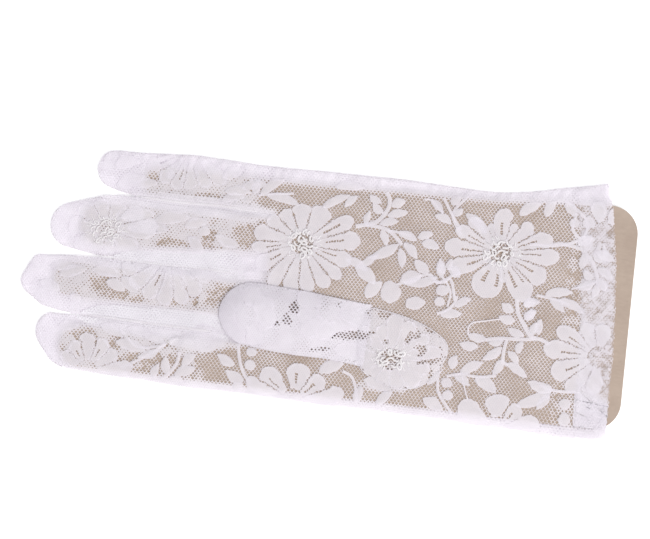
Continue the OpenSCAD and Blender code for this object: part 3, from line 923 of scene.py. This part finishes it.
def cloth(name, low, high, grain=2600.0, grain_depth=0.00012, clear=0.42):
    """Knitted thread: a soft change of tone over a few mm, crossing rows and a fine grain of loops. clear
    is the share of light that passes through."""
    material, tree, shader, place = new_material(name, 0.75, 0.15)
    tone = ramp(tree, noise(tree, place, 170, 3, 0.6), [(0.3, low), (0.7, high)])
    rows = [wave_rows(tree, place, turn) for turn in (KNIT_TURN, -KNIT_TURN)]
    crossings = add_node(tree, "Math", 0, {0: rows[0], 1: rows[1]}, operation="MULTIPLY")
    dots = ramp(tree, crossings, [(0.35, (1, 1, 1)), (0.85, (0.9, 0.88, 0.88))])
    colour = multiply(tree, 1.0, tone, dots)
    tree.links.new(colour, shader.inputs["Base Color"])
    loops = add_node(tree, "TexWave", "Fac", {"Scale": grain / 6, "Distortion": 3.0, "Detail": 1.0,
                                              "Detail Scale": 2.0, "Vector": place},
                     bands_direction="DIAGONAL")
    fine = noise(tree, place, grain, 1, 0.5)
    height = add_node(tree, "Math", 0, {0: loops, 1: 0.6, 2: fine}, operation="MULTIPLY_ADD")
    bump(tree, shader, height, grain_depth, 0.7)
    through = add_node(tree, "BsdfTranslucent", "BSDF", {"Color": colour})
    both = add_node(tree, "MixShader", "Shader", {0: clear, 1: shader.outputs["BSDF"], 2: through})
    tree.links.new(both, tree.nodes["Material Output"].inputs["Surface"])
    return material


lace_white = cloth("lace_white", (0.885, 0.85, 0.90), (0.93, 0.90, 0.945))
side_white = cloth("side_white", (0.90, 0.885, 0.915), (0.94, 0.925, 0.955))
thread_white = cloth("thread_white", (0.90, 0.87, 0.90), (0.94, 0.92, 0.945), 3400)
cord_white = cloth("cord_white", (0.95, 0.93, 0.94), (0.98, 0.97, 0.975), 3400, 0.00006, 0.48)

kraft, tree, shader, place = new_material("kraft_card", 0.85)
base = ramp(tree, noise(tree, place, 60, 5, 0.65),
            [(0.3, (0.368, 0.29, 0.238)), (0.7, (0.425, 0.342, 0.282))])
fibres = add_node(tree, "Mapping", "Vector",
                  {"Scale": (0.35, 1.0, 1.0), "Rotation": (0, 0, 0.3), "Vector": place})
fleck = ramp(tree, noise(tree, fibres, 900, 3, 0.7),
             [(0.0, (0.62, 0.62, 0.62)), (0.36, (0.94, 0.94, 0.94)), (0.6, (1, 1, 1)),
              (0.8, (1.12, 1.1, 1.08))])
tree.links.new(multiply(tree, 0.8, base, fleck), shader.inputs["Base Color"])
bump(tree, shader, noise(tree, place, 1500, 4, 0.7), 0.00008, 0.5)


def done(piece, body, nodes, material, turn=None):
    """The piece rides on its body, or, when turn is given, stays where it is with no body; it stands for its
    CAD nodes and takes its material.
    """
    piece.data.materials.append(material)
    if turn:
        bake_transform(piece)
    else:
        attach(piece, body)
    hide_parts(*nodes)
    return piece


# ---- the pieces of lace


def centre_holes(centres):
    """The open middles of flowers, under the cords."""
    turn = np.radians(np.arange(0, 360, 15))
    ring = 0.3 * np.stack([KNOT_LONG * np.cos(turn), KNOT_WIDE * np.sin(turn)], axis=1)
    return [ring + centre for centre in centres]


def moved(patterns, dx, dy):
    """A pattern's flowers, leaves, buds and stems, all moved by dx, dy."""
    flowers, leaves, buds, stems = patterns
    return ([((c[0] + dx, c[1] + dy), p) for c, p in flowers],
            [(a + dx, b + dy, c + dx, d + dy, w) for a, b, c, d, w in leaves],
            [(a + dx, b + dy, r) for a, b, r in buds],
            [([(a + dx, b + dy) for a, b in s], w) for s, w in stems])


pattern = (PALM_FLOWERS, PALM_LEAVES, PALM_BUDS, PALM_STEMS)
palm_knots = [c for c, _ in PALM_FLOWERS[:3]]
palm = lace("palm_lace", glove_loops + [gusset_loop], motifs(*pattern), palm_height, hole=open_share,
            open_spots=centre_holes(palm_knots[:2]))
done(palm, "glove", ["palm_panel"], lace_white)

# The back is hidden in the photograph: it has the same pattern in other places
back_pattern = [a + b for a, b in zip(moved(pattern, 26, -22), moved(pattern, -128, 27))]
back = lace("back_lace", glove_loops, motifs(*back_pattern, seed=4), back_height, hole=0.42, shift=(0.5, 0.3),
            seed=5)
done(back, "glove", ["back_panel"], lace_white)

strips, hems = [], []
for node, loop in zip(side_nodes, side_loops):
    loop = soften(loop, 2)
    strip = lace(node.replace("fourchette", "side_strip"), [loop], [],
                 lambda p: np.maximum(palm_height(p) - 0.24, 2.34),
                 hole=lambda p: 0.34 + 0.46 * smooth((p[:, 0] + 46) / 16), shift=(0.3, 0.4), seed=6)
    done(strip, "glove", [node], side_white)
    strips.append((strip, loop))

# The lace that is turned in at the cuff has the pattern mirrored about the fold
FOLD_X = 114
mirrored = motifs(*pattern, seed=6)
for points, _, rim in mirrored:
    points[:, 0] = 2 * FOLD_X - points[:, 0]
    rim[:, 0] = 2 * FOLD_X - rim[:, 0]
    points[:, 2] *= 0.4


def lining_share(points):
    return np.clip(0.73 + 0.18 * ripple(points, 18, 5) + jitter(points, 24, -0.3, 0.2), 0.1, 0.86)


for side, level, up in (("palm", palm_height, -0.18), ("back", back_height, 0.3)):
    loop = soften(top_loops("cuff_hem_" + side)[0], 1.5)
    hem = lace("hem_lining_" + side, [loop], mirrored, lambda p: level(p) + up, hole=lining_share,
               shift=(0.7, 0.2), seed=7)
    done(hem, "glove", ["cuff_hem_" + side], lace_white)
    hems.append((hem, loop))

gusset_knots = [c for c, _ in GUSSET_FLOWERS]
gusset = lace("gusset_lace", [gusset_loop], motifs(GUSSET_FLOWERS, gaps=NO_GAPS), gusset_height,
              hole=thumb_share, open_spots=centre_holes(gusset_knots), seed=8, cuts=THUMB_CUTS)
done(gusset, "glove", ["thumb_gusset"], lace_white)

bend = ((root_x * MM, 0, 0), (0.008, 0, 0))     # where the cloth would start and end its turn with the thumb; done() does not read these points, and only leaves the piece unattached
thumb_top = lace("thumb_front_lace", [thumb_loop], motifs(THUMB_FLOWERS, gaps=NO_GAPS), thumb_height,
                 hole=thumb_share, seed=9, cuts=THUMB_CUTS)
done(thumb_top, "thumb", ["thumb_front"], lace_white, bend)
thumb_low = lace("thumb_back_lace", [thumb_loop], motifs(THUMB_FLOWERS, seed=5, gaps=NO_GAPS),
                 thumb_low_height, hole=lambda p: thumb_share(p) + 0.1, shift=(0.1, 0.1), seed=10,
                 cuts=THUMB_CUTS)
done(thumb_low, "thumb", ["thumb_back"], lace_white, bend)


# ---- seams, stitches, knots


class Bundle:
    """Many small shapes gathered into one mesh."""

    def __init__(self):
        self.points, self.faces, self.count = [], [], 0

    def add(self, points, faces):
        self.points.append(points)
        self.faces.append(np.asarray(faces) + self.count)
        self.count += len(points)

    def piece(self, name):
        return mesh_piece(name, np.concatenate(self.points), np.concatenate(self.faces))


def tube(path, radius, sides=6, closed=False, flat=1.0):
    """A round thread along a path of 3-D points; radius is a number or one for each point."""
    radius = np.broadcast_to(radius, (len(path),))
    way = directions(path, closed)
    across = np.cross(way, [0, 0, 1.0])
    across /= np.maximum(np.linalg.norm(across, axis=1)[:, None], 1e-9)
    up = np.cross(across, way)
    angle = np.arange(sides)[None, :, None] * 2 * math.pi / sides
    ring = across[:, None, :] * np.cos(angle) + flat * up[:, None, :] * np.sin(angle)
    points = (path[:, None, :] + ring * radius[:, None, None]).reshape(-1, 3)
    n = len(path)
    spans = n if closed else n - 1
    faces = [(i * sides + j, i * sides + (j + 1) % sides,
              ((i + 1) % n) * sides + (j + 1) % sides, ((i + 1) % n) * sides + j)
             for i in range(spans) for j in range(sides)]
    return points, np.array(faces)


def lifted(plan, level, up):
    """A plan path laid on a height, up mm above it."""
    return np.concatenate([plan, (level(plan) + up)[:, None]], axis=1)


def stitches(bundle, plan, level, up, pitch, long, turn, radius, closed=False):
    """A row of small threads along a plan path, turned by an angle from it."""
    dice = np.random.default_rng(20)
    spots = resample(plan, pitch, closed)
    for spot, (dx, dy) in zip(spots, directions(spots)):
        a = math.atan2(dy, dx) + turn + dice.uniform(-0.12, 0.12)
        half = 0.5 * long * dice.uniform(0.85, 1.15)
        t = np.linspace(-1, 1, 5)
        line = spot + half * t[:, None] * np.array([math.cos(a), math.sin(a)])
        base = max(level(spot[None])[0] + up, 1.1 * radius)
        arch = np.concatenate([line, (base + 0.16 * (1 - t ** 2))[:, None]], axis=1)
        bundle.add(*tube(arch, radius * np.array([0.55, 1, 1.05, 1, 0.55]), 5))


OVERCAST = (0.9, 0.9, 0.11)   # stitches over an edge: how long, turned how far, and their radius


def fringe_of(node, loop, inset, end_x=None):
    """The part of a loop that runs along a CAD node, up to end_x, moved in by inset mm."""
    reach = 0.7
    low, high = (np.array(c)[:2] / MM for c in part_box(node))
    if end_x is not None:
        high[0] = end_x - reach
    line = resample(loop, 0.6, closed=True)
    keep = ((line > low - reach) & (line < high + reach)).all(1)
    if not keep.all():
        shift = int(np.argmin(keep))
        line, keep = np.roll(line, -shift, axis=0), np.roll(keep, -shift)
        runs = np.split(np.arange(len(keep)), np.nonzero(np.diff(keep))[0] + 1)
        line = line[max((r for r in runs if keep[r[0]]), key=len)]
    left = left_of(directions(line))
    middle = [len(line) // 2]
    sign = 1 if inside(line[middle] + 0.5 * left[middle], [loop])[0] else -1
    return line + sign * inset * left


for node in ("index_tip_seam", "middle_tip_seam", "ring_tip_seam", "little_tip_seam", "little_side_seam"):
    line = fringe_of(node, glove_loops[0], 0.35)
    bundle = Bundle()
    ridge = lifted(line, palm_height, 0)
    ridge[:, 2] = MIDDLE_Z + 0.1 * ripple(line, 13, 5)
    bundle.add(*tube(ridge, 0.24 + 0.04 * ripple(line, 14, 3), 8))
    stitches(bundle, line, lambda p: np.full(len(p), MIDDLE_Z + 0.16), 0.06, 1.3, *OVERCAST)
    done(bundle.piece(node.replace("_seam", "_sewing")), "glove", [node], thread_white)

gusset_line = resample(gusset_loop, 0.7, closed=True)
bundle = Bundle()
bundle.add(*tube(lifted(gusset_line, palm_height, 0.1), 0.24, 8, closed=True))
stitches(bundle, gusset_line, palm_height, 0.26, 1.25, 1.0, 0.9, 0.11, closed=True)
done(bundle.piece("gusset_sewing"), "glove", ["gusset_seam"], thread_white)

line = fringe_of("thumb_seam", thumb_loop, 0.3, end_x=root_x - 0.4)
bundle = Bundle()
bundle.add(*tube(lifted(line, thumb_rim, -0.28), 0.27, 8))
stitches(bundle, line, thumb_rim, 0.18, 1.3, *OVERCAST)
done(bundle.piece("thumb_sewing"), "thumb", ["thumb_seam"], thread_white, bend)

SEAM_ROWS = ((-26.5, -96, -42), (-3, -86, -36), (22, -78, -30))      # y of a slit, x of its seams' ends
for side, level, up in (("palm", palm_height, 0.12), ("back", back_height, -0.3)):
    bundle = Bundle()
    for y, start, stop in SEAM_ROWS:
        for offset in (-1.5, 1.5):
            line = np.array([[start, y + offset], [stop, y + offset]], float)
            stitches(bundle, line, level, up, 1.9, 1.1, 0.15, 0.1)
        if side == "palm":
            ridge = resample(np.array([[start + 2, y], [stop - 0.5, y]], float), 0.8)
            count = np.arange(len(ridge))
            ends = np.clip(np.minimum(count, count[::-1]) / 6 + 0.3, 0, 1)
            bundle.add(*tube(lifted(ridge, level, 0), 0.62 * ends, 10, flat=0.42))
    done(bundle.piece("finger_sewing_" + side), "glove", ["finger_seams_" + side], thread_white)
    bundle = Bundle()
    hem_loop = top_loops("cuff_hem_" + side)[0]
    hem_sides = segments([hem_loop])
    inner = []                # the inner edge of the hem, from its lowest y to its highest
    for y in np.linspace(hem_loop[:, 1].min() + 0.6, hem_loop[:, 1].max() - 5.5, 60):
        x0, y0, x1, y1 = hem_sides[(hem_sides[:, 1] > y) != (hem_sides[:, 3] > y)].T
        inner.append(((x0 + (y - y0) * (x1 - x0) / (y1 - y0)).min() + 0.9, y))
    stitches(bundle, np.array(inner), level, up, 2.1, 1.7, 0.2, 0.13)
    done(bundle.piece("hem_sewing_" + side), "glove", ["hem_stitch_" + side], thread_white)


CURL_PITCH = 2.5
LOOSE_ENDS = 26


def knot_cluster(bundle, centre, level, long, wide, seed, thick=0.42):
    """A heap of small curled cords in the middle of a flower, with loose ends round it."""
    dice = np.random.default_rng(seed)
    for row in range(-4, 5):
        for k in range(-4, 5):
            x = (k + 0.5 * (row % 2)) * CURL_PITCH + dice.uniform(-0.6, 0.6)
            y = row * CURL_PITCH * 0.84 + dice.uniform(-0.5, 0.5)
            if (x / long) ** 2 + (y / wide) ** 2 > 0.95:
                continue
            r = dice.uniform(0.6, 1.0)
            tilt, phase, turn = dice.uniform(0, 0.2), dice.uniform(0, 2 * math.pi), dice.uniform(0, math.pi)
            ringed = dice.uniform() < 0.4
            a = np.arange(14) * 2 * math.pi / 14 if ringed else np.linspace(0, dice.uniform(2.6, 4.6), 9)
            spot = np.array([centre[0] + x, centre[1] + y])
            base = level(spot[None])[0] + 0.9 * thick + dice.uniform(0, 0.12)
            px, py = r * 1.35 * np.cos(a), r * 0.8 * np.sin(a)
            ring = np.stack([spot[0] + px * math.cos(turn) - py * math.sin(turn),
                             spot[1] + px * math.sin(turn) + py * math.cos(turn),
                             base + r * tilt * np.cos(a + phase)], axis=1)
            bundle.add(*tube(ring, thick * dice.uniform(0.85, 1.15), 8, closed=ringed, flat=0.7))
    for _ in range(LOOSE_ENDS):
        a, r = dice.uniform(0, 2 * math.pi), math.sqrt(dice.uniform(0.5, 1.5))
        spot = np.array([centre[0] + long * r * math.cos(a), centre[1] + wide * r * math.sin(a)])
        b = a + dice.uniform(-0.9, 0.9)
        t = np.linspace(-1, 1, 5)
        line = spot + dice.uniform(0.5, 1.1) * t[:, None] * np.array([math.cos(b), math.sin(b)])
        arch = lifted(line, level, 0.24)
        arch[:, 2] += 0.12 * (1 - t ** 2)
        bundle.add(*tube(arch, 0.56 * thick, 6, flat=0.8))


bundle = Bundle()
for i, c in enumerate(palm_knots):
    knot_cluster(bundle, c, palm_height, KNOT_LONG, KNOT_WIDE, 30 + i, 0.42 if i < 2 else 0.3)
palm_cords = done(bundle.piece("palm_flower_cords"), "glove", ["flower_knots_palm"], cord_white)
bundle = Bundle()
knot_cluster(bundle, gusset_knots[0], gusset_height, 6.0, 4.2, 40)
gusset_cords = done(bundle.piece("gusset_flower_cords"), "glove", ["gusset_flower_knots"], cord_white)


# ---- the hand card


def board(name, loop, low, high, corner=0.14):
    """A flat board of the loop's outline whose cut edges are a little rounded."""
    loop = resample(loop, 1.5, closed=True)
    left = left_of(directions(loop, closed=True))
    if not inside(loop[:1] + left[:1] * 0.4, [loop])[0]:
        left = -left
    bevel = [(0, corner), (0.4 * corner, 0.4 * corner), (corner, 0)]       # height and inset
    rings = [(low + z, inset) for z, inset in bevel] + [(high - z, inset) for z, inset in bevel[::-1]]
    n = len(loop)
    points = np.concatenate([np.concatenate([loop + left * inset, np.full((n, 1), z)], axis=1)
                             for z, inset in rings])
    faces = [[r * n + i, r * n + (i + 1) % n, (r + 1) * n + (i + 1) % n, (r + 1) * n + i]
             for r in range(len(rings) - 1) for i in range(n)]
    faces.append(list(range((len(rings) - 1) * n, len(rings) * n)))
    faces.append(list(range(n))[::-1])
    mesh = bpy.data.meshes.new(name)
    mesh.from_pydata((points * MM).tolist(), [], faces)
    mesh.validate()
    return in_scene(name, mesh)


done(board("kraft_hand_card", card_loops[0], card_low, card_top), "card", ["hand_card"], kraft)

# ---- floor, light, camera

floor_mesh = bpy.data.meshes.new("floor")
floor_mesh.from_pydata([(-3, -3, 0), (3, -3, 0), (3, 3, 0), (-3, 3, 0)], [], [(0, 1, 2, 3)])
floor = in_scene("floor", floor_mesh)
floor_material, tree, shader, place = new_material("white_floor", 0.9)
shader.inputs["Specular IOR Level"].default_value = 0.0
tree.links.new(ramp(tree, noise(tree, place, 8, 2), [(0.3, (0.93, 0.93, 0.93)), (0.7, (0.94, 0.94, 0.94))]),
               shader.inputs["Base Color"])
shader.inputs["Emission Color"].default_value = (1, 1, 1, 1)
shader.inputs["Emission Strength"].default_value = 0.25
floor_mesh.materials.append(floor_material)

GLOVE_TURN = 7                # degrees that the glove lies off the picture's horizontal
scene = bpy.context.scene
world = bpy.data.worlds.new("studio")
scene.world = world
world.use_nodes = True
background = world.node_tree.nodes["Background"]
background.inputs["Color"].default_value = (0.97, 0.975, 1.0, 1)
background.inputs["Strength"].default_value = 0.8

lamp_data = bpy.data.lights.new("soft_window", "AREA")
lamp_data.shape = "DISK"
lamp_data.size = 0.8
lamp_data.energy = 13.4
lamp_data.color = (1.0, 0.985, 0.965)
lamp = in_scene("soft_window", lamp_data)
lamp.location = (0.6, -0.5, 1.2)
lamp.rotation_euler = (-lamp.location).to_track_quat("-Z", "Y").to_euler()

camera_data = bpy.data.cameras.new("straight_down")
camera_data.sensor_width = 36
camera_data.lens = 142
camera_data.clip_end = 20
camera = in_scene("straight_down", camera_data)
camera.location = (-0.00175, 0.00268, 1.0)
camera.rotation_euler = Euler((0, 0, math.radians(GLOVE_TURN)))
scene.camera = camera
scene.view_settings.view_transform = "Standard"
